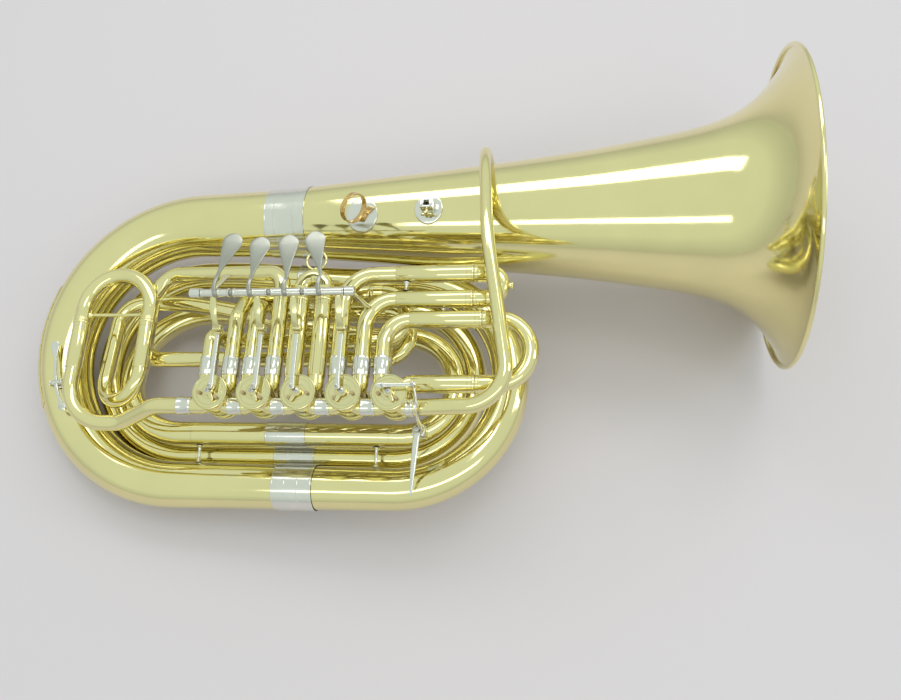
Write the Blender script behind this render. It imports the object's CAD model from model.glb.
import bpy, bmesh, math
import numpy as np
from mathutils import Vector, Matrix


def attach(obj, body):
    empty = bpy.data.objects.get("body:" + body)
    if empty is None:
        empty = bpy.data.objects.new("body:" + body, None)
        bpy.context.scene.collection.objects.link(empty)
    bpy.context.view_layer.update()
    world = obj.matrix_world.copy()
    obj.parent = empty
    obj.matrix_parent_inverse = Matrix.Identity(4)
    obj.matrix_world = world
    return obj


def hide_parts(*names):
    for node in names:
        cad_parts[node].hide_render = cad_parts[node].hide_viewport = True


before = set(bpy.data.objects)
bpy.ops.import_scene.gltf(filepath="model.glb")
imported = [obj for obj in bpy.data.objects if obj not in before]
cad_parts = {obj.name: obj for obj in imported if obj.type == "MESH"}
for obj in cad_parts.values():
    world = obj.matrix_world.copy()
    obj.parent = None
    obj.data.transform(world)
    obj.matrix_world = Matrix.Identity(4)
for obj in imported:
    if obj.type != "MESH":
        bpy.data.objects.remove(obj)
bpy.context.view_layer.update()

# ------------------------------------------------------------------ frame
ROLL, TILT = math.radians(5.12), math.radians(-7.54)
OFF = np.array([-458.902, 96.207, 77.186])
RX = np.array([[1, 0, 0], [0, math.cos(ROLL), -math.sin(ROLL)], [0, math.sin(ROLL), math.cos(ROLL)]])
RY = np.array([[math.cos(TILT), 0, math.sin(TILT)], [0, 1, 0], [-math.sin(TILT), 0, math.cos(TILT)]])
ROT = RY @ RX


def row(p):
    return (np.asarray(p, float) @ ROT.T + OFF) / 1000.0


def unit(v):
    v = np.asarray(v, float)
    return v / max(np.linalg.norm(v), 1e-12)


# ------------------------------------------------------------------ numbers (mm, the tuba's own axes)
WALL, TR, BR = 0.9, 10.1, 9.5
RI, RO = 10.16, 10.9
YB, YV, YL, ZT = -2.0, -273.0, -285.5, 84.0
XV = [256.4 + 54.65 * k for k in range(5)]
AY, AZ = -163.5, 144.0
BY, BZ = -197.5, 113.5
PROF = [(299, 47), (344, 51), (450, 60), (548, 68.5), (620, 75.4), (700, 84.4), (769, 94.6), (822, 103.6), (848, 109.8), (874, 118.5),
        (894, 129), (910, 141.5), (922, 154), (932, 166.5), (940, 179), (944.5, 188.5), (946.5, 196.8)]
LX = [XV[0] + 5.1, XV[1] + 5.45, XV[2] - 4.7, XV[3] - 4.85]


# ------------------------------------------------------------------ path helpers
def ease(s):
    return s * s * (3 - 2 * s)


def uline(xa, xc, ya, yb, xb, side, za, zb, n=64, k=10):
    R, ym, sg = abs(ya - yb) / 2, (ya + yb) / 2, (1 if ya > yb else -1)
    out = []
    for i in range(k):
        out.append([xa + (xc - xa) * i / k, ya, za])
    for i in range(n + 1):
        a = math.pi * i / n
        out.append([xc + side * R * math.sin(a), ym + sg * R * math.cos(a), za + (zb - za) * ease(i / n)])
    for i in range(1, k + 1):
        out.append([xc + (xb - xc) * i / k, yb, zb])
    return np.array(out)


def eline(a, b, n=24):
    a0, b0 = np.array(a, float), np.array(b, float)
    t = np.array([math.copysign(2.5, b0[0] - a0[0]), 0, 0])
    a, b = a0 + t, b0 - t
    return np.array([a0.tolist()] + [[a[0] + (b[0] - a[0]) * s, a[1] + (b[1] - a[1]) * ease(s), a[2] + (b[2] - a[2]) * ease(s)] for s in np.linspace(0, 1, n + 1)] + [b0.tolist()])


def rounded(p, rb, step=4.0):
    p = [np.array(q, float) for q in p]
    out = [p[0]]
    for i in range(1, len(p) - 1):
        d1, d2 = unit(p[i] - p[i - 1]), unit(p[i + 1] - p[i])
        th = math.acos(max(-1, min(1, float(d1 @ d2))))
        if th < 1e-4:
            continue
        R = rb[i - 1]
        n = unit(d2 - (d1 @ d2) * d1)
        c = p[i] - R * math.tan(th / 2) * d1 + R * n
        k = max(3, int(math.ceil(math.degrees(th) / step)))
        for j in range(k + 1):
            a = th * j / k
            out.append(c + R * (-n * math.cos(a) + d1 * math.sin(a)))
    out.append(p[-1])
    return np.array(out)


def densify(c, maxlen=22.0):
    out = [c[0]]
    for a, b in zip(c[:-1], c[1:]):
        k = max(1, int(np.linalg.norm(b - a) // maxlen))
        for j in range(1, k + 1):
            out.append(a + (b - a) * j / k)
    return np.array(out)


def share(c):
    d = np.r_[0, np.cumsum(np.linalg.norm(np.diff(c, axis=0), axis=1))]
    return d / d[-1]


def taper(c, r0, r1, e=1.0):
    return r1 + (r0 - r1) * np.power(np.clip(1 - share(c), 0, 1), e)


def tangents(c):
    t = np.zeros_like(c)
    d = np.diff(c, axis=0)
    d = d / np.maximum(np.linalg.norm(d, axis=1), 1e-9)[:, None]
    t[0], t[-1] = d[0], d[-1]
    t[1:-1] = d[1:] + d[:-1]
    return t / np.linalg.norm(t, axis=1)[:, None]


def hermite(pts, n):
    """Smooth curve through (x, y) stations."""
    pts = np.array(pts, float)
    d = np.r_[0, np.cumsum(np.linalg.norm(np.diff(pts, axis=0), axis=1))]
    m = np.gradient(pts, d, axis=0)
    out = []
    for s in np.linspace(0, d[-1], n):
        i = min(int(np.searchsorted(d, s, side="right") - 1), len(d) - 2)
        h = d[i + 1] - d[i]
        u = (s - d[i]) / h
        out.append((2 * u**3 - 3 * u**2 + 1) * pts[i] + (u**3 - 2 * u**2 + u) * h * m[i] + (-2 * u**3 + 3 * u**2) * pts[i + 1] + (u**3 - u**2) * h * m[i + 1])
    return np.array(out)


# ------------------------------------------------------------------ materials
def nt(name):
    m = bpy.data.materials.new(name)
    m.use_nodes = True
    m.node_tree.nodes.clear()
    return m, m.node_tree.nodes, m.node_tree.links


def metal(name, base, dark, rough=0.07, var=0.05, coat=0.35, scale=14.0, bump=0.02, brushed=0.0, edge=0.25):
    """Polished metal: tone drift, smudges in the lacquer, fine polishing marks, tarnish in the joints."""
    m, N, L = nt(name)
    out = N.new("ShaderNodeOutputMaterial")
    b = N.new("ShaderNodeBsdfPrincipled")
    L.new(b.outputs[0], out.inputs[0])
    b.inputs["Metallic"].default_value = 1.0
    b.inputs["Coat Weight"].default_value = coat
    b.inputs["Coat Roughness"].default_value = 0.04
    tc = N.new("ShaderNodeTexCoord")
    n1 = N.new("ShaderNodeTexNoise")
    n1.inputs["Scale"].default_value = scale
    n1.inputs["Detail"].default_value = 3
    L.new(tc.outputs["Object"], n1.inputs["Vector"])
    r1 = N.new("ShaderNodeValToRGB")
    r1.color_ramp.elements[0].position, r1.color_ramp.elements[1].position = 0.3, 0.75
    r1.color_ramp.elements[0].color = (*[c * 0.94 for c in base], 1)
    r1.color_ramp.elements[1].color = (*base, 1)
    L.new(n1.outputs[0], r1.inputs[0])
    ao = N.new("ShaderNodeAmbientOcclusion")
    ao.inputs["Distance"].default_value = 0.006
    ao.samples = 4
    mx = N.new("ShaderNodeMix")
    mx.data_type = "RGBA"
    aor = N.new("ShaderNodeMapRange")
    aor.inputs["From Min"].default_value, aor.inputs["From Max"].default_value = 0.25, 0.8
    aor.inputs["To Min"].default_value, aor.inputs["To Max"].default_value = edge, 0.0
    L.new(ao.outputs["AO"], aor.inputs["Value"])
    L.new(aor.outputs[0], mx.inputs["Factor"])
    L.new(r1.outputs[0], mx.inputs["A"])
    mx.inputs["B"].default_value = (*dark, 1)
    L.new(mx.outputs["Result"], b.inputs["Base Color"])
    # smudges and faint wipe marks
    n2 = N.new("ShaderNodeTexNoise")
    n2.inputs["Scale"].default_value = scale * 3.1
    n2.inputs["Detail"].default_value = 6
    n2.inputs["Roughness"].default_value = 0.65
    L.new(tc.outputs["Object"], n2.inputs["Vector"])
    mr = N.new("ShaderNodeMapRange")
    mr.inputs["From Min"].default_value, mr.inputs["From Max"].default_value = 0.35, 0.75
    mr.inputs["To Min"].default_value, mr.inputs["To Max"].default_value = rough, rough + var
    L.new(n2.outputs[0], mr.inputs["Value"])
    L.new(mr.outputs[0], b.inputs["Roughness"])
    n3 = N.new("ShaderNodeTexNoise")
    n3.inputs["Scale"].default_value = 900 if not brushed else 260
    n3.inputs["Detail"].default_value = 4
    mp = N.new("ShaderNodeMapping")
    mp.inputs["Scale"].default_value = (1, 1, 1) if not brushed else (0.06, 1, 1)
    L.new(tc.outputs["Object"], mp.inputs["Vector"])
    L.new(mp.outputs[0], n3.inputs["Vector"])
    bm = N.new("ShaderNodeBump")
    bm.inputs["Strength"].default_value = bump + brushed
    bm.inputs["Distance"].default_value = 0.0002
    L.new(n3.outputs[0], bm.inputs["Height"])
    n4 = N.new("ShaderNodeTexNoise")
    n4.inputs["Scale"].default_value = 26
    n4.inputs["Detail"].default_value = 1
    L.new(tc.outputs["Object"], n4.inputs["Vector"])
    bm2 = N.new("ShaderNodeBump")
    bm2.inputs["Strength"].default_value = 0.05
    bm2.inputs["Distance"].default_value = 0.0006
    L.new(n4.outputs[0], bm2.inputs["Height"])
    L.new(bm.outputs[0], bm2.inputs["Normal"])
    L.new(bm2.outputs[0], b.inputs["Normal"])
    return m


def dull(name, base, dark, rough=0.8, scale=300, bump=0.4, metallic=0.0):
    m, N, L = nt(name)
    out = N.new("ShaderNodeOutputMaterial")
    b = N.new("ShaderNodeBsdfPrincipled")
    L.new(b.outputs[0], out.inputs[0])
    b.inputs["Metallic"].default_value = metallic
    tc = N.new("ShaderNodeTexCoord")
    v = N.new("ShaderNodeTexNoise")
    v.inputs["Scale"].default_value = scale
    v.inputs["Detail"].default_value = 5
    L.new(tc.outputs["Object"], v.inputs["Vector"])
    r = N.new("ShaderNodeValToRGB")
    r.color_ramp.elements[0].color, r.color_ramp.elements[1].color = (*dark, 1), (*base, 1)
    L.new(v.outputs[0], r.inputs[0])
    L.new(r.outputs[0], b.inputs["Base Color"])
    mr = N.new("ShaderNodeMapRange")
    mr.inputs["To Min"].default_value, mr.inputs["To Max"].default_value = rough - 0.1, min(1.0, rough + 0.1)
    L.new(v.outputs[0], mr.inputs["Value"])
    L.new(mr.outputs[0], b.inputs["Roughness"])
    bm = N.new("ShaderNodeBump")
    bm.inputs["Strength"].default_value = bump
    bm.inputs["Distance"].default_value = 0.0004
    L.new(v.outputs[0], bm.inputs["Height"])
    L.new(bm.outputs[0], b.inputs["Normal"])
    return m


BRASS = metal("lacquered_brass", (0.88, 0.80, 0.41), (0.50, 0.29, 0.07), rough=0.07, var=0.05, coat=0.2, edge=0.5)
BRASS_IN = metal("brass_inside", (0.78, 0.68, 0.30), (0.35, 0.18, 0.05), rough=0.12, var=0.08, coat=0.1)
BRASS_TURNED = metal("turned_brass", (0.83, 0.77, 0.42), (0.50, 0.29, 0.08), rough=0.13, var=0.08, coat=0.15, brushed=0.1, edge=0.45)
NICKEL = metal("nickel_silver", (0.80, 0.79, 0.72), (0.22, 0.19, 0.14), rough=0.12, var=0.08, coat=0.1, scale=30)
NICKEL_TURNED = metal("turned_nickel", (0.70, 0.68, 0.63), (0.20, 0.17, 0.13), rough=0.18, var=0.08, coat=0.0, scale=40, brushed=0.15)
SATIN = metal("satin_nickel", (0.42, 0.42, 0.37), (0.22, 0.19, 0.14), rough=0.27, var=0.05, coat=0.0, scale=30, brushed=0.05)
BRONZE = metal("rotor_bronze", (0.66, 0.50, 0.27), (0.2, 0.11, 0.04), rough=0.24, var=0.1, coat=0.0, brushed=0.2)
GOLD = metal("worn_gold", (0.80, 0.55, 0.22), (0.3, 0.15, 0.04), rough=0.16, var=0.12, coat=0.1, scale=60)
STEEL = metal("screw_steel", (0.60, 0.59, 0.57), (0.15, 0.13, 0.11), rough=0.2, var=0.1, coat=0.0, scale=60, brushed=0.1)
CORK = dull("cork", (0.60, 0.47, 0.26), (0.36, 0.25, 0.12))


# ------------------------------------------------------------------ mesh builder
class Piece:
    def __init__(self, node, body="body", slot="brass"):
        self.node, self.body, self.slotname = node, body, slot
        self.v, self.f, self.m, self.mats = [], [], [], []

    def mi(self, mat):
        if mat not in self.mats:
            self.mats.append(mat)
        return self.mats.index(mat)

    def add(self, verts, faces, mat):
        k, mi = len(self.v), self.mi(mat)
        self.v.extend([list(map(float, x)) for x in verts])
        for f in faces:
            self.f.append([i + k for i in f])
            self.m.append(mi)

    def tube(self, c, r, mat, wall=None, sides=40, inner=None, cap=True):
        """Round tube along centre points; wall None makes it solid."""
        c = densify(np.asarray(c, float))if len(np.atleast_1d(r)) == 1 else np.asarray(c, float)
        n = len(c)
        r = np.full(n, float(r)) if np.ndim(r) == 0 else np.asarray(r, float)
        t = tangents(c)
        u = unit(np.cross(t[0], [0, 0, 1] if abs(t[0][2]) < 0.9 else [1, 0, 0]))
        ang = np.linspace(0, 2 * math.pi, sides, endpoint=False)
        rings, rin = [], []
        for i in range(n):
            u = unit(u - (u @ t[i]) * t[i])
            w = np.cross(t[i], u)
            ring = np.outer(np.cos(ang), u) + np.outer(np.sin(ang), w)
            rings.append(c[i] + r[i] * ring)
            if wall:
                rin.append(c[i] + (r[i] - wall) * ring)
        V = np.concatenate(rings)
        F = [[i * sides + j, i * sides + (j + 1) % sides, (i + 1) * sides + (j + 1) % sides, (i + 1) * sides + j] for i in range(n - 1) for j in range(sides)]
        if wall:
            V = np.concatenate([V] + rin)
            m = n * sides
            self.add(V, F, mat)
            k = len(self.v) - len(V)
            fin = [[k + m + i * sides + j, k + m + (i + 1) * sides + j, k + m + (i + 1) * sides + (j + 1) % sides, k + m + i * sides + (j + 1) % sides] for i in range(n - 1) for j in range(sides)]
            mi = self.mi(inner or BRASS_IN)
            self.f += fin
            self.m += [mi] * len(fin)
            e = (n - 1) * sides
            ends = [[k + j, k + m + j, k + m + (j + 1) % sides, k + (j + 1) % sides] for j in range(sides)] + \
                   [[k + e + j, k + e + (j + 1) % sides, k + m + e + (j + 1) % sides, k + m + e + j] for j in range(sides)]
            mo = self.mi(mat)
            self.f += ends
            self.m += [mo] * len(ends)
        else:
            if cap:
                F.append(list(range(sides))[::-1])
                F.append([(n - 1) * sides + j for j in range(sides)])
            self.add(V, F, mat)

    def lathe(self, prof, a, d, mat, segs=64, closed=True):
        """Closed profile of (radius, height) turned about the line through a along d."""
        d = unit(d)
        u = unit(np.cross(d, [0, 0, 1] if abs(d[2]) < 0.9 else [1, 0, 0]))
        w = np.cross(d, u)
        prof = [(max(x[0], 0.0), x[1]) for x in prof]
        # orientation: anticlockwise in (r, z) keeps the faces outward
        area = sum(p[0] * q[1] - q[0] * p[1] for p, q in zip(prof, prof[1:] + prof[:1]))
        if area < 0:
            prof = prof[::-1]
        V, idx = [], []
        for (r, z) in prof:
            if r < 1e-6:
                idx.append([len(V)] * segs)
                V.append(np.array(a) + d * z)
            else:
                ids = []
                for j in range(segs):
                    th = 2 * math.pi * j / segs
                    ids.append(len(V))
                    V.append(np.array(a) + d * z + r * (math.cos(th) * u + math.sin(th) * w))
                idx.append(ids)
        F = []
        n = len(prof)
        for i in range(n if closed else n - 1):
            A, B = idx[i], idx[(i + 1) % n]
            for j in range(segs):
                k = (j + 1) % segs
                q = [A[j], A[k], B[k], B[j]]
                q = [x for i2, x in enumerate(q) if x != q[i2 - 1]]
                if len(set(q)) >= 3:
                    F.append(q)
        self.add(V, F, mat)

    def cyl(self, a, b, r, mat, ch=0.35, ri=0.0, segs=48):
        """Turned rod or ring from a to b with broken edges."""
        a, b = np.array(a, float), np.array(b, float)
        L = np.linalg.norm(b - a)
        ch = min(ch, L / 3, r / 3)
        if ri > 0:
            p = [(ri, 0), (r - ch, 0), (r, ch), (r, L - ch), (r - ch, L), (ri, L)]
        else:
            p = [(0, 0), (r - ch, 0), (r, ch), (r, L - ch), (r - ch, L), (0, L)]
            self.lathe(p, a, b - a, mat, segs, closed=False)
            return
        self.lathe(p, a, b - a, mat, segs)

    def strap(self, path, w, th, mat, side=(1, 0, 0), ex=0.55, k=20):
        """Forged flat bar with rounded edges: half widths w, thicknesses th along a path."""
        c = np.asarray(path, float)
        n = len(c)
        w = np.full(n, float(w)) if np.ndim(w) == 0 else np.asarray(w, float)
        th = np.full(n, float(th)) if np.ndim(th) == 0 else np.asarray(th, float)
        t = tangents(c)
        V = []
        ang = np.linspace(0, 2 * math.pi, k, endpoint=False)
        cx = np.sign(np.cos(ang)) * np.abs(np.cos(ang)) ** ex
        cz = np.sign(np.sin(ang)) * np.abs(np.sin(ang)) ** ex
        for i in range(n):
            s = np.asarray(side, float)
            s = unit(s - (s @ t[i]) * t[i])
            nn = np.cross(s, t[i])
            for a, b in zip(cx, cz):
                V.append(c[i] + s * a * w[i] + nn * b * th[i] / 2)
        F = [[i * k + j, (i + 1) * k + j, (i + 1) * k + (j + 1) % k, i * k + (j + 1) % k] for i in range(n - 1) for j in range(k)]
        F.append(list(range(k)))
        F.append([(n - 1) * k + j for j in range(k)][::-1])
        self.add(V, F, mat)

    def block(self, lo, hi, mat, bev=0.8, rot=None):
        """Machined block with rounded edges; rot is (origin, 3x3)."""
        bm = bmesh.new()
        bmesh.ops.create_cube(bm, size=1.0)
        lo, hi = np.array(lo, float), np.array(hi, float)
        for v in bm.verts:
            v.co = Vector((lo + (hi - lo) * (np.array(v.co) + 0.5)).tolist())
        bmesh.ops.bevel(bm, geom=bm.edges[:], offset=bev, segments=3, affect="EDGES", profile=0.5)
        V = np.array([v.co[:] for v in bm.verts])
        if rot is not None:
            V = V @ np.array(rot[1]).T + np.array(rot[0])
        self.add(V, [[v.index for v in f.verts] for f in bm.faces], mat)
        bm.free()

    def ball(self, c, r, mat, segs=32, d=(0, 0, 1)):
        n = 16
        p = [(r * math.sin(math.pi * i / n), -r * math.cos(math.pi * i / n)) for i in range(n + 1)]
        self.lathe(p, c, d, mat, segs, closed=False)

    def ring(self, c, d, R, r, mat, segs=64, k=20):
        p = [(R + r * math.cos(2 * math.pi * i / k), r * math.sin(2 * math.pi * i / k)) for i in range(k)]
        self.lathe(p, c, d, mat, segs)

    def screw(self, c, d, r, h, mat, slot=(1, 0, 0)):
        """Cheese-head screw with a sawn slot: two half heads over a floor."""
        d = unit(d)
        s = np.asarray(slot, float)
        s = unit(s - (s @ d) * d)
        w = np.cross(d, s)
        self.cyl(c, np.array(c) + d * h * 0.55, r, mat, ch=0.1)
        g, n = r * 0.16, 18
        for sg in (1, -1):
            a0 = math.asin(g / r)
            pts = [(r * math.cos(a), sg * r * math.sin(a)) for a in np.linspace(a0, math.pi - a0, n)]
            if sg < 0:
                pts = pts[::-1]
            def at(p, z, q=1.0):
                return np.array(c) + d * z + s * p[0] * q + w * (sg * g + (p[1] - sg * g) * q)
            V = [at(p, h * 0.5) for p in pts] + [at(p, h * 0.88) for p in pts] + [at(p, h, 0.88) for p in pts]
            m = len(pts)
            F = [[j, (j + 1) % m, m + (j + 1) % m, m + j] for j in range(m)] + [[m + j, m + (j + 1) % m, 2 * m + (j + 1) % m, 2 * m + j] for j in range(m)]
            F += [list(range(m))[::-1], [2 * m + j for j in range(m)]]
            self.add(V, F, mat)

    def done(self, angle=32.0, sub=0):
        me = bpy.data.meshes.new("m_" + self.node)
        me.from_pydata([row(p).tolist() for p in self.v], [], self.f)
        for mat in self.mats:
            me.materials.append(mat)
        me.polygons.foreach_set("material_index", self.m)
        me.polygons.foreach_set("use_smooth", [True] * len(self.f))
        me.validate()
        me.set_sharp_from_angle(angle=math.radians(angle))
        me.update()
        ob = bpy.data.objects.new("v_" + self.node, me)
        bpy.context.scene.collection.objects.link(ob)
        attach(ob, self.body)
        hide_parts(self.node)
        return ob


def ferrule_prof(ri, ro, L, ribs, rw=1.5, rh=0.55):
    """Sleeve with turned beads at the given heights."""
    p = [(ri, 0), (ro - 0.2, 0), (ro, 0.3)]
    for z in ribs:
        z0 = max(0.35, min(L - 2 * rw - 0.35, z - rw))
        p += [(ro, z0)] + [(ro + rh * math.sin(math.pi * i / 6), z0 + 2 * rw * i / 6) for i in range(1, 6)] + [(ro, z0 + 2 * rw)]
    p += [(ro, L - 0.3), (ro - 0.2, L), (ri, L)]
    return p


# ------------------------------------------------------------------ bell and bows
P = Piece("bell")
pr = hermite(PROF, 110)
dd = np.gradient(pr, axis=0)
nn = np.stack([-dd[:, 1], dd[:, 0]], 1)
nn /= np.linalg.norm(nn, axis=1)[:, None]
inn = pr - nn * WALL
outer = [(r, x) for x, r in pr]
inner = [(r, x) for x, r in inn][::-1]
P.lathe(outer + inner, [0, YB, 0], [1, 0, 0], BRASS, segs=160)
P.done(angle=60)

P = Piece("bell_rim")
k = 24
pf = []
for i in range(k):
    a = 2 * math.pi * i / k
    z = 946.5 + 3 * math.sin(a)
    pf.append((200 + 3 * math.cos(a), min(z, 949.0)))
P.lathe(pf, [0, YB, 0], [1, 0, 0], BRASS, segs=160)
P.done(angle=50)

P = Piece("bell_ferrule", slot="nickel_silver")
bp = [(46.25, 271), (47.3, 271), (47.45, 271.3), (47.45, 272.3), (47.15, 272.6), (47.5, 283.8), (47.8, 284.1), (47.85, 285.2), (47.6, 285.5), (48.0, 299), (49.1, 311.2), (49.4, 311.5), (49.5, 312.6), (49.25, 312.9),
      (50.35, 325.3), (50.7, 325.6), (50.85, 326.7), (50.6, 327), (49.65, 327), (47.15, 299)]
P.lathe(bp, [0, YB, 0], [1, 0, 0], NICKEL, segs=128)
P.done(angle=14)


def bow(node, c, r, wall=WALL, sides=72, mat=None):
    P = Piece(node)
    P.tube(c, r, mat or BRASS, wall=wall, sides=sides)
    return P.done(angle=50)


c = uline(298.95, 170, YB, -366, 337.2, -1, 0, -14, 96)
rb = taper(c, 46.9, 28, 1.35)
bow("bottom_bow", c, rb, sides=96)
BOWC, BOWR = c, rb
cb = np.array([[337.2, -366, -14], [440, -366, -14]])
bow("outer_branch", densify(cb, 12), np.linspace(28, 26.6, len(densify(cb, 12))))
c = uline(440.0, 459, -366, -80, 430.2, 1, -14, -36, 80)
bow("top_bow", c, taper(c, 26.6, 21.5))
c = eline([430, -80, -36], [188, -62, -42], 30)
bow("second_branch", c, taper(c, 21.5, 19.8))
c = uline(187.8, 168, -62, -322, 187.8, -1, -42, -44, 72)
bow("second_bow", c, taper(c, 19.8, 18.3))
c = densify(np.array([[188., -322, -44], [430, -322, -44]]), 12)
bow("third_branch", c, taper(c, 18.3, 17.6))
c = uline(430.2, 450, -322, -116, 430.2, 1, -44, -50, 64)
bow("third_bow", c, taper(c, 17.6, 16.6))
c = densify(np.array([[430., -116, -50], [192, -116, -50]]), 12)
bow("fourth_branch", c, taper(c, 16.6, 16))
c = uline(191.8, 172, -116, -299, 191.8, -1, -50, -8, 64)
bow("fourth_bow", c, taper(c, 16, 15.5))
c = densify(np.array([[192., -299, -8], [455, -299, -8]]), 12)
bow("inner_branch", c, taper(c, 15.5, 15.2))
c = uline(455.2, 469, -299, -168, 455.2, 1, -8, -12, 56)
bow("inner_bow", c, taper(c, 15.2, 13.4), sides=56)
c = np.concatenate([eline([455, -168, -12], [115, -118, -2], 30)[:-1],
                    rounded([[115, -118, -2], [66, -118, 4], [66, -266, 18], [134, -266, 52], [134, -222, 52]], [35, 37.5, 37.5])])
r = np.where(np.arange(len(c)) < 32, 10.1 + 3.3 * (c[:, 0] - 115) / 340, 10.1)
bow("tuning_branch", c, r, wall=0.8, sides=48)

# guard over the bottom bow: a hugging plate with a beaded edge
P = Piece("bow_guard")
A0, A1, S = 156, 204, 49
cx, cy = 170, -184
rows_, cols_ = 60, 40


def guard_pt(ua, us, lift):
    a = math.radians(A0 + (A1 - A0) * ua)
    ctr = np.array([cx + 182 * math.cos(a), cy + 182 * math.sin(a)])
    i = int(np.argmin(np.hypot(BOWC[:, 0] - ctr[0], BOWC[:, 1] - ctr[1])))
    R = BOWR[i]
    o = np.array([math.cos(a), math.sin(a), 0])
    ph = math.radians(-S + 2 * S * us)
    return np.array([ctr[0], ctr[1], BOWC[i][2]]) + (R + lift) * (math.cos(ph) * o + np.array([0, 0, math.sin(ph)]))


ctrs = BOWC[(BOWC[:, 0] < 20)]
V, F = [], []
for layer, base in ((0, 0.12), (1, 1.0)):
    for i in range(rows_ + 1):
        for j in range(cols_ + 1):
            ua, us = i / rows_, j / cols_
            e = min(i, rows_ - i, j, cols_ - j)
            lift = base
            if layer:
                lift = 0.5 if e == 0 else (1.5 if e in (1, 2) else 0.95)
            V.append(guard_pt(ua, us, lift))
M = (rows_ + 1) * (cols_ + 1)
gi = lambda l, i, j: l * M + i * (cols_ + 1) + j
for i in range(rows_):
    for j in range(cols_):
        F.append([gi(1, i, j), gi(1, i, j + 1), gi(1, i + 1, j + 1), gi(1, i + 1, j)][::-1])
        F.append([gi(0, i, j), gi(0, i, j + 1), gi(0, i + 1, j + 1), gi(0, i + 1, j)])
for i in range(rows_):
    F.append([gi(0, i, 0), gi(0, i + 1, 0), gi(1, i + 1, 0), gi(1, i, 0)][::-1])
    F.append([gi(0, i, cols_), gi(0, i + 1, cols_), gi(1, i + 1, cols_), gi(1, i, cols_)])
for j in range(cols_):
    F.append([gi(0, 0, j), gi(0, 0, j + 1), gi(1, 0, j + 1), gi(1, 0, j)])
    F.append([gi(0, rows_, j), gi(0, rows_, j + 1), gi(1, rows_, j + 1), gi(1, rows_, j)][::-1])
P.add(V, F, BRASS)
P.done(angle=40)

P = Piece("outer_ferrule", slot="nickel_silver")
P.lathe(ferrule_prof(28.6, 29.5, 52, [1.0, 17.0, 34.0, 50.6], 0.7, 0.22), [311, -366, -14], [1, 0, 0], NICKEL, segs=96)
P.done(angle=18)
P = Piece("inner_ferrules", slot="nickel_silver")
P.lathe(ferrule_prof(15.6, 16.4, 53, [0.9, 17.5, 35, 51.8], 0.7, 0.25), [293, -299, -8], [1, 0, 0], NICKEL)
P.lathe(ferrule_prof(18.1, 18.9, 54, [0.9, 18, 36, 52.8], 0.7, 0.25), [296, -322, -44], [1, 0, 0], NICKEL)
P.lathe(ferrule_prof(21.3, 22.1, 30, [0.9, 15, 28.8], 0.7, 0.25), [335, -73.8, -38.1], [-30, 3.3, -1.1], NICKEL)
P.done(angle=18)

# ------------------------------------------------------------------ cylindrical tubing
def collar(P, a, b, mat=None, ri=RI, ro=RO):
    """Receiver sleeve with a seam line and an end ring."""
    a, b = np.array(a, float), np.array(b, float)
    L = np.linalg.norm(b - a)
    p = [(ri, 0), (ro - 0.35, 0), (ro, 0.5)]
    p += [(ro, L - 8.2), (ro - 0.25, L - 8.0), (ro - 0.25, L - 7.8), (ro, L - 7.6)]
    p += [(ro, L - 3.1), (ro + 0.45, L - 2.9), (ro + 0.7, L - 2.3), (ro + 0.7, L - 0.5), (ro + 0.4, L), (ri, L)]
    P.lathe(p, a, b - a, mat or BRASS, segs=56)


P = Piece("main_receivers")
for x in (40, 134):
    collar(P, [x, -228.3, 52], [x, -164.5, 52])
P.done(angle=40)
P = Piece("exit_tube")
P.tube(rounded([[218.9, YL, ZT], [178, YL, ZT], [120, -301, 55], [40, -301, 52], [40, -222, 52]], [40, 40, 57]), TR, BRASS, wall=0.6)
P.done(angle=50)
LEAD = [[497.2, YL, ZT], [512, YL, ZT], [616.5, -287, 106], [582, -74, 106], [574, 30, 86], [569, 74, 52], [568, 84, -8], [567, 72, -66]]
P = Piece("leadpipe")
c = densify(rounded(LEAD, [60, 45, 250, 85, 70, 85], 3.0), 8)
P.tube(c, taper(c, 10, 6.3), BRASS, wall=0.8, sides=56)
P.done(angle=50)
P = Piece("mouthpiece_receiver", slot="nickel_silver")
d = unit([-1, -12, -58])
P.lathe([(6.45, 0), (7.7, 0), (8.0, 0.4), (8.0, 2.8), (7.7, 3.4), (7.75, 10), (8.4, 20), (8.4, 33), (8.9, 35), (9.4, 36.6), (9.4, 45.2), (9.0, 46), (7.2, 46), (6.8, 45.4), (6.8, 23.5), (7.4, 23.5), (7.4, 20.5), (6.45, 20.5)],
        np.array(LEAD[7]) - d * 20, d, NICKEL, segs=64)
P.done(angle=40)

R1Y, R2Y, R3Y, R4Y = -118, -151, -177.5, -257.5


def kn(i, s):
    return [[XV[i] + 12.4 * s, YV + 9.9, ZT], [XV[i] + 14.5 * s, YV + 12, ZT]]


P = Piece("valve_line")
for i in range(4):
    P.tube(rounded([[XV[i] + 11.6, YV - 9.9, ZT], [XV[i] + 14, YL, ZT], [XV[i + 1] - 14, YL, ZT], [XV[i + 1] - 11.6, YV - 9.9, ZT]], [6, 6]), TR, BRASS, wall=0.6)
P.tube(rounded([[XV[0] - 11.6, YV - 9.9, ZT], [XV[0] - 14, YL, ZT], [219, YL, ZT]], [6]), TR, BRASS, wall=0.6)
P.tube(rounded([[XV[4] + 11.6, YV - 9.9, ZT], [XV[4] + 14, YL, ZT], [497, YL, ZT]], [6]), TR, BRASS, wall=0.6)
P.done(angle=50)

P = Piece("valve_loops")


def loop(pts, rad):
    P.tube(rounded(pts, rad), TR, BRASS, wall=0.6)


def kk(i, s, r=None):
    return [[XV[i] + 9 * s, YV + 6.5, ZT], [XV[i] + 14.5 * s, YV + 12, ZT]]


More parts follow.
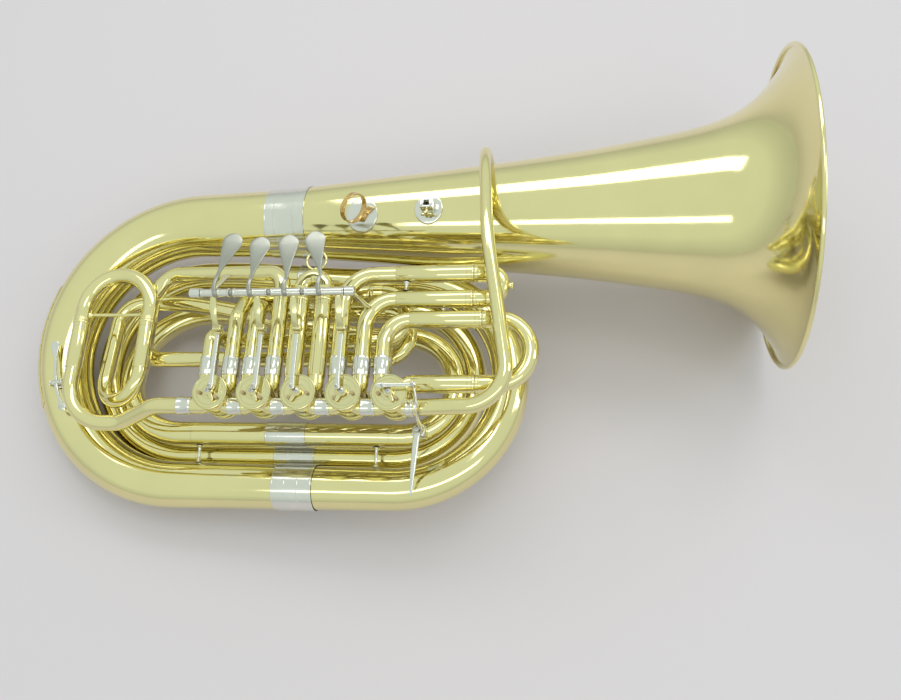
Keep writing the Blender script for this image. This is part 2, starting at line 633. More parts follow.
loop(kk(0, -1) + [[XV[0] - 14.5, -192, ZT], [XV[0] - 14.5, -192, 52], [357, -192, 52]], [12, 14, 14])
loop(kk(0, 1) + [[XV[0] + 14.5, -172, ZT], [XV[0] + 14.5, -130, 52], [357, -130, 52]], [12, 14, 14])
loop(kk(1, -1) + [[XV[1] - 14.5, -158, ZT], [XV[1] - 14.5, -147, 28], [357, -147, 28]], [12, 14, 14])
loop(kk(1, 1) + [[XV[1] + 14.5, -113, ZT], [142, -88, 28], [122, -120, 28], [120, -209, 28], [357, -209, 28]], [12, 26, 30, 30, 26])
for s in (-1, 1):
    loop(kk(2, s) + [[XV[2] + 14.5 * s, -238, ZT]], [12])
loop(kk(3, -1) + [[XV[3] - 14.5, R1Y, ZT], [477, R1Y, ZT]], [12, 38])
loop(kk(3, 1) + [[XV[3] + 14.5, R2Y, ZT], [479, R2Y, ZT]], [12, 36])
loop(kk(4, -1) + [[XV[4] - 14.5, R3Y, ZT], [497, R3Y, ZT]], [12, 30])
loop([[XV[4] + 9, YV + 6.2, ZT], [XV[4] + 17, R4Y, ZT], [501, R4Y, ZT]], [11])
P.done(angle=50)

P = Piece("nickel_ferrules", slot="nickel_silver")


def fer(a, b):
    a, b = np.array(a, float), np.array(b, float)
    L = np.linalg.norm(b - a)
    P.lathe(ferrule_prof(TR + 0.03, RO, L, [1.0, L - 2.2] if L > 8 else [1.0], 0.7, 0.22), a, b - a, NICKEL, segs=56)


for i in range(4):
    fer([XV[i] + 18.8, YL, ZT], [XV[i] + 35.8, YL, ZT])
fer([492.5, YL, ZT], [501.5, YL, ZT])
fer([210, YL, ZT], [228, YL, ZT])
for i in (0, 1, 3, 4):
    for s in (-1, 1):
        if not (i == 4 and s == 1):
            fer([XV[i] + 14.5 * s, -248.5, ZT], [XV[i] + 14.5 * s, -225, ZT])
P.done(angle=40)

P = Piece("slide_receivers")
for a, b in (([470.5, R1Y, ZT], [566, R1Y, ZT]), ([472.5, R2Y, ZT], [566, R2Y, ZT]), ([350, -147, 28], [430.5, -147, 28]), ([350, -209, 28], [430.5, -209, 28]),
             ([350, -192, 52], [430.5, -192, 52]), ([350, -130, 52], [430.5, -130, 52]), ([491, R3Y, ZT], [578, R3Y, ZT]), ([497.3, R4Y, ZT], [572, R4Y, ZT]),
             ([XV[2] - 14.5, -248.5, ZT], [XV[2] - 14.5, -149.5, ZT]), ([XV[2] + 14.5, -248.5, ZT], [XV[2] + 14.5, -149.5, ZT])):
    collar(P, a, b)
P.done(angle=40)

# ------------------------------------------------------------------ tuning slides
def slide(node, a, b, d, li, lf, extra=None):
    P = Piece(node, body=node)
    a, b, d = np.array(a, float), np.array(b, float), np.array(d, float)
    w = (b - a) - ((b - a) @ d) * d
    e, half = unit(w), np.linalg.norm(w) / 2
    top = max(a @ d, b @ d) + lf
    m = a + e * half + d * (top - a @ d)
    ua, ub = top - a @ d, top - b @ d
    pts = [a - d * li, a - d * li * 0.5, a + d * ua * 0.5]
    pts += [m + half * (-math.cos(t) * e + math.sin(t) * d) for t in np.linspace(0, math.pi, 49)]
    pts += [b + d * ub * 0.5, b - d * li * 0.5, b - d * li]
    c = np.array(pts)
    P.tube(c, np.full(len(c), TR), BRASS, wall=0.6, sides=48)
    for q, u_ in ((a, ua), (b, ub)):
        L = u_ - 0.3
        P.lathe(ferrule_prof(TR - 0.1, RO, L, [1.6, 4.6], 0.6, 0.3), q + d * 0.3, d, BRASS, segs=56)
    if extra:
        extra(P)
    P.done(angle=50)


def cross_bar(P):
    P.tube(np.array([[50.2, -155, 52], [87, -155, 52], [123.8, -155, 52]]), 2.2, BRASS, sides=24)
    for s in (0, 1):
        x0, x1 = (50.0, 53.4) if s == 0 else (124.0, 120.6)
        P.lathe([(0, 0), (4.6, 0), (4.3, 1.2), (2.8, 2.2), (2.3, 3.4), (0, 3.4)], [x0, -155, 52], [x1 - x0, 0, 0], BRASS, segs=32, closed=False)


slide("main_slide", [40, -164.5, 52], [134, -164.5, 52], [0, 1, 0], 55.5, 18.5, cross_bar)


def boss(P):
    P.lathe([(0, 0), (3.6, 0), (3.4, 1.6), (4.4, 2.4), (4.4, 4.2), (3.6, 4.8), (0, 4.8)], [599.5 + 9.6, (R1Y + R2Y) / 2, ZT], [1, 0, 0], BRASS, segs=32, closed=False)


slide("slide_1", [566, R1Y, ZT], [566, R2Y, ZT], [1, 0, 0], 85, 17, boss)


def pull_ring(P):
    P.ring([XV[2], -96.8, ZT], [0, 0, 1], 12.6, 1.6, BRASS)
    P.ball([XV[2], -109.2, ZT], 3.0, BRASS)


slide("slide_2", [XV[2] - 14.5, -149.5, ZT], [XV[2] + 14.5, -149.5, ZT], [0, 1, 0], 69.5, 15.5, pull_ring)
slide("slide_3", [430.5, -147, 28], [430.5, -209, 28], [1, 0, 0], 68.5, 16.5)
slide("slide_4", [430.5, -130, 52], [430.5, -192, 52], [1, 0, 0], 68.5, 16.5)
slide("slide_5", [578, R3Y, ZT], [572, R4Y, ZT], [1, 0, 0], 69, 17.5)

# ------------------------------------------------------------------ valves
P = Piece("valve_casings")
for x in XV:
    P.lathe([(18.1, 60), (20.2, 60), (20.5, 60.4), (20.5, 64.6), (20.2, 65), (20.2, 65.4), (20.5, 65.8), (20.5, 96.6), (20.25, 97), (20.25, 97.4), (20.5, 97.8), (20.5, 101.6), (20.2, 102), (18.1, 102)],
            [x, YV, 0], [0, 0, 1], BRASS, segs=96)
P.done(angle=40)
P = Piece("bearing_plates")
for x in XV:
    P.lathe([(18.0, 98.5), (18.0, 102), (21.1, 102), (21.5, 102.3), (21.7, 102.9), (21.7, 103.7), (21.4, 104.4), (21.0, 104.6), (20.4, 104.55), (20.15, 104.2), (19.9, 104.02), (16.6, 104.02), (16.4, 103.8), (15.9, 103.8),
             (15.7, 104.02), (9.4, 104.02), (9.2, 103.85), (8.9, 103.85), (8.7, 104.02), (4.4, 104.02), (4.1, 103.7), (4.1, 98.5)][::-1],
            [x, YV, 0], [0, 0, 1], BRASS_TURNED, segs=96)
P.done(angle=30)
P = Piece("back_caps")
for x in XV:
    kn_ = 96
    P.lathe([(0, 53), (13.4, 53), (14, 53.5), (14, 54), (20.6, 54), (21.6, 54.6), (22, 55.6), (22, 62.8), (21.6, 63.6), (21.0, 64), (20.6, 64), (20.55, 63.8), (20.55, 60), (4.1, 60), (4.06, 57), (0, 57)],
            [x, YV, 0], [0, 0, 1], BRASS, segs=96, closed=False)
P.done(angle=30)

# corks on their stop plate, two small screws a plate
P = Piece("stop_corks", slot="cork")
for i, x in enumerate(XV):
    for a in ([-142.6, -7.4] if i in (2, 3) else [-37.4, -172.6]):
        q = [x + 12 * math.cos(math.radians(a)), YV + 12 * math.sin(math.radians(a)), 0]
        P.lathe([(0, 104.02), (2.1, 104.02), (2.25, 104.3), (2.15, 107.9), (1.8, 108.4), (0, 108.4)], q, [0, 0, 1], CORK, segs=28, closed=False)
P.done(angle=40)

ROT_ANG = [(45, -60, 6), (45, -60, 6), (135, -120, 6), (135, -120, 6), (135, -60, 7)]
for i, v in ((0, 4), (1, 3), (2, 2), (3, 1), (4, 5)):
    pa, ta, rho = ROT_ANG[i]
    x = XV[i]
    P = Piece(f"rotor_{v}", body=f"rotor_{v}", slot="bronze")
    # body with its two passages shown by the CAD solid's outline
    P.lathe([(0, 57.2), (3.7, 57.2), (4, 57.5), (4, 60.3), (17.8, 60.3), (18.02, 60.5), (18.02, 75), (17.2, 77), (17.2, 91), (18.02, 93), (18.02, 97.8), (17.8, 98), (4, 98), (4, 108.9), (0, 108.9)], [x, YV, 0], [0, 0, 1], BRONZE, segs=72, closed=False)
    P.lathe([(4.05, 105), (5.2, 105), (5.6, 105.4), (5.6, 108.9), (5.1, 109.5), (0, 109.5)], [x, YV, 0], [0, 0, 1], BRASS_TURNED, segs=40, closed=False)
    P.screw([x, YV, 109.3], [0, 0, 1], 3.2, 1.9, STEEL, slot=(math.cos(math.radians(pa + 40)), math.sin(math.radians(pa + 40)), 0))
    for ang, L, w, th, z in ((pa, rho, 2.9, 3.2, 107.0), (ta, 13.2, 2.3, 3.0, 106.9)):
        u = np.array([math.cos(math.radians(ang)), math.sin(math.radians(ang)), 0])
        sd = np.array([-u[1], u[0], 0])
        n = 14
        s = np.linspace(0, 1, n)
        P.strap([np.array([x, YV, z]) + u * (L + (w if ang == pa else 0)) * t for t in s], np.array([w * (1.15 - 0.15 * t) if t < 0.85 else w * (1.0 - 0.6 * ((t - 0.85) / 0.15) ** 2) for t in s]), th, BRASS_TURNED, side=sd)
    u = np.array([math.cos(math.radians(pa)), math.sin(math.radians(pa)), 0])
    P.cyl(np.array([x, YV, 108.2]) + u * rho, np.array([x, YV, 111.4]) + u * rho, 1.7, STEEL, ch=0.25, segs=28)
    P.done(angle=35)

# ------------------------------------------------------------------ levers
P = Piece("lever_axle", slot="nickel_silver")
P.cyl([236, AY, AZ], [435.5, AY, AZ], 2.5, NICKEL, ch=0.4)
P.done()
P = Piece("axle_posts", slot="nickel_silver")


def rotx_block(lo, hi, mat=NICKEL, bev=1.2):
    P.block(lo, hi, mat, bev)


for x0, x1 in ((235, 247.9), (424.7, 436.5)):
    P.lathe([(2.52, 0), (5.4, 0), (6.0, 0.6), (6.0, (x1 - x0) - 0.6), (5.4, x1 - x0), (2.52, x1 - x0)], [x0, AY, AZ], [1, 0, 0], NICKEL, segs=48)
s = np.linspace(0, 1, 24)
P.strap([[241.5, AY + 2 - 2 * math.cos(t * 1.5) + 45 * t * t + 8 * t, AZ - 5 - 70 * t + 6 * math.sin(math.pi * t)] for t in s], np.interp(s, [0, 0.2, 0.8, 1], [5, 3.6, 3.6, 5.2]), np.interp(s, [0, 0.2, 1], [6, 3.4, 2.6]), NICKEL)
P.strap([[431.2 + 7.6 * t, AY + 0.4 * math.sin(t * 3), AZ - 5 - 44.2 * t] for t in s], np.interp(s, [0, 0.2, 0.8, 1], [4.8, 3.6, 3.6, 5.2]), np.interp(s, [0, 0.2, 1], [6, 4, 4]), NICKEL)
P.done(angle=40)
P = Piece("lever_springs", slot="nickel_silver")
for x0 in (285.2, 332.2, 372.7):
    n = 150
    t = np.linspace(0, 1, n)
    P.tube(np.array([[x0 + 3.2 * q, AY + 3.8 * math.cos(2 * math.pi * 3 * q), AZ + 3.8 * math.sin(2 * math.pi * 3 * q)] for q in t]), np.full(n, 0.45), STEEL, sides=10)
P.done(angle=60)

PX = [(282.9, -102.6), (318, -108.3), (353.3, -106.5), (385.7, -102.6)]
QX = [(271.8, -137.2), (312.7, -142.4), (355.1, -144.1), (394.5, -137.7)]
AX = [268, 311.2, 353.6, 395.2]
TX = [(248.5, 284.5), (289, 331.5), (336, 372), (376.5, 424.3)]


def bez(p, n):
    p = np.array(p, float)
    out = []
    for t in np.linspace(0, 1, n):
        q = p.copy()
        while len(q) > 1:
            q = q[:-1] + (q[1:] - q[:-1]) * t
        out.append(q[0])
    return np.array(out)


for i, v in ((0, 4), (1, 3), (2, 2), (3, 1)):
    P = Piece(f"paddle_{v}", body=f"paddle_{v}", slot="nickel_silver")
    l = LX[i]
    x0, x1 = TX[i]
    L = x1 - x0
    P.lathe([(2.56, 0), (5.0, 0), (5.6, 0.4), (5.6, 1.7), (5.2, 2.1), (4.7, 2.6), (4.7, L - 2.6), (5.2, L - 2.1), (5.6, L - 1.7), (5.6, L - 0.4), (5.0, L), (2.56, L)], [x0, AY, AZ], [1, 0, 0], NICKEL, segs=48)
    # collar where the arms grow out of the tube
    P.lathe([(4.6, -4.6), (5.3, -4.2), (5.5, 0), (5.3, 4.2), (4.6, 4.6)], [AX[i], AY, AZ], [1, 0, 0], NICKEL, segs=40)
    p, q = np.array([*PX[i], 152.0]), np.array([*QX[i], 152.0])
    a = unit(p - q)
    R, D = 12.8, np.linalg.norm(p - q)
    arm = bez([[AX[i], AY - 4.4, AZ + 1.5], [AX[i] - 1.0, AY - 3, AZ + 9.5], [AX[i] - 2.2, AY + 8, AZ + 9.5], [AX[i] - 1.4, AY + 15, 149.5], q - a * 9 + [0, 0, -0.8], q - a * 2], 26)
    s = np.concatenate([np.linspace(2, D - 2, 26), D + R * np.sin(np.linspace(-0.1, math.pi / 2, 22))])
    plate = np.array([q + a * t for t in s])
    # the plate dips slightly towards its tip
    plate[:, 2] += 0.9 * np.sin(np.clip((s - 2) / (D + R), 0, 1) * math.pi) - 0.5 * np.clip((s - D) / R, 0, 1) ** 2
    w = []
    for t in s:
        if t >= D:
            w.append(math.sqrt(max(R * R - (t - D) ** 2, 0.16)))
        else:
            k = t / D
            w.append(2.1 + (R - 2.1) * k ** 0.98)
    wa = np.interp(np.linspace(0, 1, 26), [0, 0.25, 1], [3.0, 2.5, 2.1])
    path = np.concatenate([arm, plate])
    ww = np.concatenate([wa, w])
    tt = np.concatenate([np.interp(np.linspace(0, 1, 26), [0, 0.3, 1], [4.2, 2.8, 2.4]), np.interp(s, [2, D, D + R], [2.3, 1.9, 1.5])])
    P.strap(path, ww, tt, SATIN, k=28)
    # lower arm: brass, broad at mid length, down to the fork
    lo = bez([[l, AY - 1.5, AZ - 4.4], [l, AY - 8, AZ - 8], [l, BY + 13, BZ + 22], [l, BY + 3, BZ + 12], [l, BY, BZ + 5]], 24)
    P.strap(lo, np.interp(np.linspace(0, 1, 24), [0, 0.35, 0.75, 1], [3.2, 4.6, 3.4, 4.4]), np.interp(np.linspace(0, 1, 24), [0, 0.4, 1], [4.4, 2.6, 2.6]), BRASS_TURNED, k=24)
    P.block([l - 5.4, BY - 3.2, BZ + 3.4], [l + 5.4, BY + 3.2, BZ + 6.6], BRASS_TURNED, 0.9)
    for xx in (l - 5.4, l + 3.2):
        P.lathe([(0, 0), (3.4, 0), (3.7, 0.3), (3.7, 1.9), (3.4, 2.2), (0, 2.2)], [xx, BY, BZ], [1, 0, 0], BRASS_TURNED, segs=36, closed=False)
        P.block([xx, BY - 2.8, BZ + 0.5], [xx + 2.2, BY + 2.8, BZ + 5.4], BRASS_TURNED, 0.4)
    P.cyl([l - 5.9, BY, BZ], [l + 5.9, BY, BZ], 1.9, STEEL, ch=0.3, segs=28)
    P.done(angle=40)

for i, v in ((0, 4), (1, 3), (2, 2), (3, 1)):
    P = Piece(f"link_{v}", body=f"link_{v}", slot="nickel_silver")
    l = LX[i]
    e = np.array([XV[i] + 6 * 0.70711 * (1 if i < 2 else -1), YV + 6 * 0.70711])
    P.lathe([(2.06, 0), (3.6, 0), (4.0, 0.4), (4.2, 2.5), (4.0, 4.6), (3.6, 5), (2.06, 5)], [l - 2.5, BY, BZ], [1, 0, 0], BRASS_TURNED, segs=40)
    # hexagon lock nut, then the bar
    P.lathe([(0, 0), (2.6, 0), (3.3, 0.5), (3.3, 2.6), (2.6, 3.1), (0, 3.1)], [l, BY - 4.2, BZ], [0, -1, 0], BRASS_TURNED, segs=6, closed=False)
    sb = np.linspace(0, 1, 20)
    P.strap([[l, BY - 5.0 - (BY - 5.0 - YV - 12.0) * t, BZ + 0.2] for t in sb], np.interp(sb, [0, 0.06, 0.12, 1], [1.9, 2.5, 2.6, 2.6]), 2.6, NICKEL, k=24, ex=0.4)
    n = 22
    s = np.linspace(0, 1, n)
    end = np.array([e[0], e[1] - 3.4, BZ + 0.2])
    st = np.array([l, YV + 13.0, BZ + 0.2])
    P.strap([st + (end - st) * t for t in s], np.interp(s, [0, 0.2, 0.55, 0.8, 0.97, 1], [2.6, 2.7, 3.1, 3.2, 3.0, 2.4]), 2.4, NICKEL, k=24, ex=0.4)
    P.screw([e[0], e[1], BZ + 1.3], [0, 0, 1], 2.5, 1.8, STEEL, slot=(0.8, 0.6, 0))
    P.done(angle=40)

# side lever of the fifth valve
TP, TB = np.array([497, -300, 0.]), np.array([505.5, -266.6, 0.])
P = Piece("thumb_lever_block", slot="nickel_silver")
P.block([489, -307, 7.6], [505, -293, 30], NICKEL, 1.6)
P.cyl([TP[0], TP[1], 29.6], [TP[0], TP[1], 41], 2.48, NICKEL, segs=32)
P.screw([TP[0], TP[1], 40.6], [0, 0, 1], 4.5, 2.2, STEEL, slot=(1, 0.4, 0))
P.done(angle=40)
P = Piece("thumb_lever", body="thumb_lever", slot="nickel_silver")
P.lathe([(2.56, 31), (4.9, 31), (5.2, 31.4), (5.2, 38.4), (4.8, 39), (2.56, 39)], [TP[0], TP[1], 0], [0, 0, 1], NICKEL, segs=44)
s = np.linspace(0, 1, 40)
P.strap([[TP[0] - 0.2 - 3.4 * t - 0.4 * math.sin(3 * t), TP[1] - 2.6 - 79 * t, 34.6 - 0.4 * t] for t in s], np.interp(s, [0, 0.14, 0.3, 0.6, 0.9, 0.98, 1], [4.0, 4.0, 3.8, 3.0, 1.7, 1.2, 0.5]), np.interp(s, [0, 0.3, 1], [4.4, 2.8, 2.0]), NICKEL, k=24)
rs = np.array([[TP[0] + 3.5, TP[1] - 1.5, 34], [TP[0] + 7, TP[1] - 2.2, 44], [TP[0] + 8.4, TP[1] - 2.1, 54], [TP[0] + 10, TP[1] - 2.1, 82], [TP[0] + 10.4, TP[1] + 1.5, 92], [TP[0] + 10.8, TP[1] + 6.5, 100.5], [TP[0] + 10.2, TP[1] + 15, 104.6], [TB[0] + 0.6, TB[1] - 8, 107.4], [TB[0], TB[1], 108.3]])
for _ in range(3):
    q = [rs[0]]
    for a, b in zip(rs[:-1], rs[1:]):
        q += [a * 0.75 + b * 0.25, a * 0.25 + b * 0.75]
    rs = np.array(q + [rs[-1]])
P.strap(rs, np.interp(np.linspace(0, 1, len(rs)), [0, 0.08, 0.8, 1], [3.4, 3.3, 3.3, 2.7]), 2.6, NICKEL, side=(0, 1, 0.45), k=24)
P.lathe([(0, 106.6), (3.3, 106.6), (3.7, 107), (3.7, 110.6), (3.3, 111.2), (1.5, 111.2), (1.5, 116), (0, 116)], [TB[0], TB[1], 0], [0, 0, 1], BRASS_TURNED, segs=36, closed=False)
P.screw([TB[0], TB[1], 115.9], [0, 0, 1], 2.8, 1.7, STEEL, slot=(0.5, 1, 0))
P.done(angle=40)
P = Piece("link_5", body="link_5", slot="nickel_silver")
s = np.linspace(0, 1, 24)
st, en = np.array([TB[0] - 3.2, TB[1], 114.0]), np.array([462, -267.6, 114.0])
P.strap([st + (en - st) * t for t in s], np.interp(s, [0, 0.1, 0.6, 0.85, 0.96, 1], [2.4, 2.0, 2.0, 3.2, 2.3, 0.7]), 2.4, NICKEL, side=(0, 1, 0), k=24)
P.lathe([(1.56, 112.4), (3.2, 112.4), (3.6, 112.8), (3.6, 115.2), (3.2, 115.6), (1.56, 115.6)], [TB[0], TB[1], 0], [0, 0, 1], BRASS_TURNED, segs=36)
P.screw([470.05, -267.9, 115.1], [0, 0, 1], 2.4, 1.6, STEEL, slot=(1, 1, 0))
P.done(angle=40)


# ------------------------------------------------------------------ fittings on the bell
def bell_r(x):
    return float(np.interp(x, pr[:, 0], pr[:, 1]))


def saddle(P, x, y, R, mat, th=1.5):
    """Round flange bent to the bell, with a bevelled edge."""
    n, k = 64, 10
    V, F = [], []
    def pt(px, py, lift):
        rr = bell_r(px) + lift
        yy = py - YB
        return [px, py, math.sqrt(max(rr * rr - yy * yy, 1))]
    lev = [(1.0, 0.12), (1.0, th * 0.55), (0.985, th * 0.85), (0.95, th)] + [(q, th) for q in np.linspace(0.9, 0.1, k)]
    for q, lift in lev:
        for j in range(n):
            a = 2 * math.pi * j / n
            V.append(pt(x + R * q * math.cos(a), y + R * q * math.sin(a), lift))
    for i in range(len(lev) - 1):
        for j in range(n):
            F.append([i * n + j, i * n + (j + 1) % n, (i + 1) * n + (j + 1) % n, (i + 1) * n + j])
    V.append(pt(x, y, th))
    F += [[(len(lev) - 1) * n + j, (len(lev) - 1) * n + (j + 1) % n, len(V) - 1] for j in range(n)]
    V.append(pt(x, y, 0.12))
    F += [[(j + 1) % n, j, len(V) - 1] for j in range(n)]
    P.add(V, F, mat)


P = Piece("thumb_ring", slot="nickel_silver")
saddle(P, 410, -19, 21.5, NICKEL)
rc, rd = np.array([405.5, -22, 79.3]), unit([0.82, -0.5, 0.28])
P.lathe([(17.9, -3.6), (18.2, -4.0), (19.3, -4.0), (19.6, -3.6), (19.45, -2.4), (19.35, 0), (19.45, 2.4), (19.6, 3.6), (19.3, 4.0), (18.2, 4.0), (17.9, 3.6), (17.8, 0)], rc, rd, GOLD, segs=96)
P.lathe([(0, 0), (5.4, 0), (5.0, 0.8), (3.8, 2.0), (3.5, 4.2), (3.6, 6.6), (0, 6.6)], [411.8, -22, 54.4], [-1.4, -2.2, 6.8], GOLD, segs=36, closed=False)
P.done(angle=40)
P = Piece("lyre_socket", slot="nickel_silver")
saddle(P, 500, -18, 18.5, NICKEL)
bm = [492, -24, 62.0]
# open square socket: four walls round the bore
for lo, hi in (([492, -24, 63], [496.4, -12, 80]), ([503.6, -24, 63], [508, -12, 80]), ([496, -24, 63], [504, -21.6, 80]), ([496, -14.4, 63], [504, -12, 80])):
    P.block(lo, hi, NICKEL, 0.5)
P.cyl([500, -22.5, 74], [500, -30.6, 74], 2.4, BRASS_TURNED, segs=32)
P.strap([[493 + 14 * t, -31.6, 74] for t in np.linspace(0, 1, 20)], np.interp(np.linspace(0, 1, 20), [0, 0.08, 0.2, 0.5, 0.8, 0.92, 1], [1.2, 2.5, 2.2, 1.5, 2.2, 2.5, 1.2]), 2.6, BRASS_TURNED, side=(0, 0, 1), k=20)
P.strap([[500, -31.6, 67 + 14 * t] for t in np.linspace(0, 1, 20)], np.interp(np.linspace(0, 1, 20), [0, 0.08, 0.2, 0.5, 0.8, 0.92, 1], [1.2, 2.5, 2.2, 1.5, 2.2, 2.5, 1.2]), 2.6, BRASS_TURNED, side=(1, 0, 0), k=20)
P.done(angle=40)

# ------------------------------------------------------------------ braces
P = Piece("braces", slot="nickel_silver")


def post(a, b, r=2.2, mat=NICKEL, fr=5.0):
    a, b = np.array(a, float), np.array(b, float)
    L = np.linalg.norm(b - a)
    h = min(1.8, L / 4)
    prof = [(0, 0), (fr, 0), (fr - 0.3, 0.7), (r + 0.9, 1.2 * h), (r, min(2.4 * h, L / 2 - 0.1)), (r * 0.9, L / 2), (r, max(L - 2.4 * h, L / 2 + 0.1)), (r + 0.9, L - 1.2 * h), (fr - 0.3, L - 0.7), (fr, L), (0, L)]
    P.lathe(prof, a, b - a, mat, segs=36, closed=False)


post([483, R1Y - 11.1, ZT], [483, R2Y + 11.1, ZT])
P.ball([530, (R2Y + R3Y) / 2, ZT], 2.3, NICKEL)
post([437, -314.44, -9.38], [437, -339.07, -11.59], 2)
post([200, -314.74, -9.41], [200, -336.04, -11.32], 2)
P.lathe([(0, 0), (7, 0), (6.8, 0.9), (5.2, 1.6), (3.2, 2.6), (2.6, 6), (2.4, 14), (2.6, 22), (3.0, 25.6), (4.4, 26.8), (0, 27)], [14.4, -195, 23], [18, 0, 19.8], NICKEL, segs=40, closed=False)
P.done(angle=40)

# ------------------------------------------------------------------ water key
WR = math.radians(11.1)
WM = np.array([[math.cos(WR), -math.sin(WR), 0], [math.sin(WR), math.cos(WR), 0], [0, 0, 1]])
WO = np.array([9, -243, 0.])
P = Piece("water_key_saddle", slot="nickel_silver")
P.block([-9, -5, 26.2], [9, 5, 29.4], NICKEL, 0.7, rot=(WO, WM))
for x in (-9, 6.4):
    P.block([x, -3.8, 27], [x + 2.6, 3.8, 40.4], NICKEL, 0.9, rot=(WO, WM))
ax = WM @ np.array([1, 0, 0])
P.cyl(WO + [0, 0, 37] - ax * 9.8, WO + [0, 0, 37] + ax * 9.8, 1.5, STEEL, segs=28)
P.lathe([(2.4, 20), (4.0, 20), (4.0, 30.2), (3.7, 31), (2.8, 31), (2.4, 30.4)], [23, -275, 0], [0, 0, 1], NICKEL, segs=36)
P.done(angle=40)
P = Piece("water_key", body="water_key", slot="nickel_silver")
P.cyl(WO + [0, 0, 37] - ax * 6.2, WO + [0, 0, 37] + ax * 6.2, 3.1, NICKEL, ri=1.56, segs=36)
t1 = bez([[8.6, -241, 38.6], [7, -230, 40.6], [2.5, -210, 38.6], [-0.4, -197, 40.6], [-1.6, -186.6, 41.2]], 30)
s = np.linspace(0, 1, 30)
P.strap(t1, np.interp(s, [0, 0.2, 0.55, 0.8, 0.93, 1], [2.6, 2.0, 2.2, 6.2, 5.6, 1.4]), np.interp(s, [0, 1], [2.8, 1.8]), NICKEL, k=24)
t2 = bez([[9.6, -246, 38], [14, -256, 40], [19, -267, 37.6], [23, -275, 36.6]], 20)
P.strap(t2, np.interp(np.linspace(0, 1, 20), [0, 0.6, 1], [2.4, 2.0, 4.4]), 2.4, NICKEL, k=20)
P.lathe([(0, 31.6), (4.2, 31.6), (4.6, 32), (4.7, 33.4), (5.5, 33.6), (5.5, 36.0), (4.6, 36.8), (0, 37.2)], [23, -275, 0], [0, 0, 1], NICKEL, segs=40, closed=False)
P.done(angle=40)

# ------------------------------------------------------------------ floor, light, camera
fm, N, L = nt("paper_sweep")
out = N.new("ShaderNodeOutputMaterial")
b = N.new("ShaderNodeBsdfPrincipled")
b.inputs["Base Color"].default_value = (0.682, 0.625, 0.662, 1)
b.inputs["Roughness"].default_value = 0.6
b.inputs["Specular IOR Level"].default_value = 0.25
L.new(b.outputs[0], out.inputs[0])
me = bpy.data.meshes.new("m_floor")
me.from_pydata([(-6, -6, 0), (6, -6, 0), (6, 6, 0), (-6, 6, 0)], [], [(0, 1, 2, 3)])
me.materials.append(fm)
floor = bpy.data.objects.new("floor", me)
bpy.context.scene.collection.objects.link(floor)

w = bpy.data.worlds.new("studio")
bpy.context.scene.world = w
w.use_nodes = True
N, L = w.node_tree.nodes, w.node_tree.links
N.clear()
wo = N.new("ShaderNodeOutputWorld")
bg = N.new("ShaderNodeBackground")
tc = N.new("ShaderNodeTexCoord")
sx = N.new("ShaderNodeSeparateXYZ")
rp = N.new("ShaderNodeValToRGB")
rp.color_ramp.elements[0].position, rp.color_ramp.elements[0].color = 0.0, (0.53, 0.585, 0.55, 1)
rp.color_ramp.elements[1].position, rp.color_ramp.elements[1].color = 0.95, (0.74, 0.82, 0.77, 1)
e = rp.color_ramp.elements.new(0.35)
e.color = (0.71, 0.79, 0.74, 1)
L.new(tc.outputs["Generated"], sx.inputs[0])
L.new(sx.outputs["Z"], rp.inputs[0])
L.new(rp.outputs[0], bg.inputs[0])
bg.inputs[1].default_value = 1.0
L.new(bg.outputs[0], wo.inputs[0])


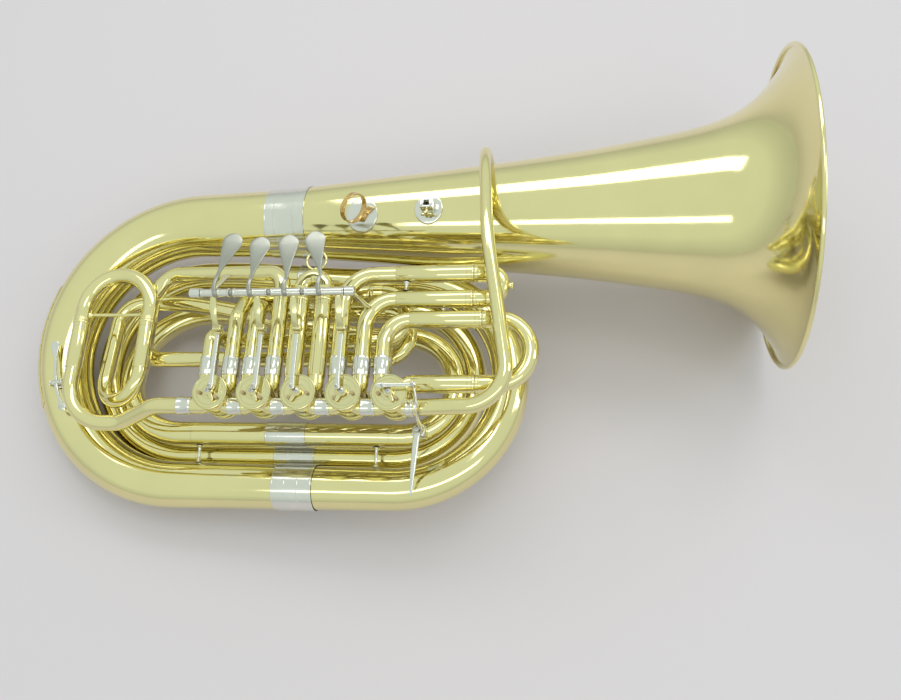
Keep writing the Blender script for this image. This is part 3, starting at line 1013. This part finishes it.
def area(name, loc, target, sx_, sy_, power, col=(1, 1, 1)):
    l = bpy.data.lights.new(name, "AREA")
    l.shape = "RECTANGLE"
    l.size, l.size_y, l.energy, l.color = sx_, sy_, power, col
    o = bpy.data.objects.new(name, l)
    o.location = loc
    o.rotation_euler = (Vector(target) - Vector(loc)).to_track_quat("-Z", "Y").to_euler()
    bpy.context.scene.collection.objects.link(o)
    return o


area("strip_back", (0.0, 1.15, 1.9), (0, 0, 0.1), 2.6, 0.7, 11)
area("strip_front", (0.1, -1.3, 1.7), (0, 0, 0.1), 2.4, 0.3, 4.5)
area("top", (0.2, 0.15, 2.7), (0, 0, 0), 1.0, 0.5, 5)
area("side", (2.2, 0.2, 1.2), (0.3, 0, 0.1), 0.5, 1.2, 4)

# camera: the view of the instrument lying in front of the lens
F_PX, E, ROLLC, YAW = 874.28, math.radians(71.89), math.radians(1.27), math.radians(-1.53)
TGT, DIST, TL, RIMX = np.array([519.29, 218.88, 60.0]), 1192.87, math.radians(9.3), 948.97
fw = np.array([math.cos(E) * math.sin(YAW), math.cos(E) * math.cos(YAW), -math.sin(E)])
rr = unit(np.cross(fw, [0, 0, 1]))
uu = np.cross(rr, fw)
r2 = math.cos(ROLLC) * rr + math.sin(ROLLC) * uu
u2 = -math.sin(ROLLC) * rr + math.cos(ROLLC) * uu
C = TGT - fw * DIST
Z0 = 200 * math.cos(TL) - RIMX * math.sin(TL)
W2L = np.array([[math.cos(TL), 0, math.sin(TL)], [0, 1, 0], [-math.sin(TL), 0, math.cos(TL)]])


def to_local(p):
    return W2L @ (np.asarray(p) - np.array([0, 383.96, Z0]))


cam_pos = row(to_local(C))
ax_ = [ROT @ (W2L @ v) for v in (r2, u2, -fw)]
cd = bpy.data.cameras.new("camera")
cd.sensor_fit = "HORIZONTAL"
cd.sensor_width = 36.0
cd.lens = F_PX / 901 * 36.0
cd.clip_start, cd.clip_end = 0.01, 50
cam = bpy.data.objects.new("camera", cd)
Mx = Matrix.Identity(4)
for i in range(3):
    for j in range(3):
        Mx[i][j] = float(ax_[j][i])
    Mx[i][3] = float(cam_pos[i])
cam.matrix_world = Mx
bpy.context.scene.collection.objects.link(cam)
bpy.context.scene.camera = cam
bpy.context.scene.view_settings.view_transform = "Standard"
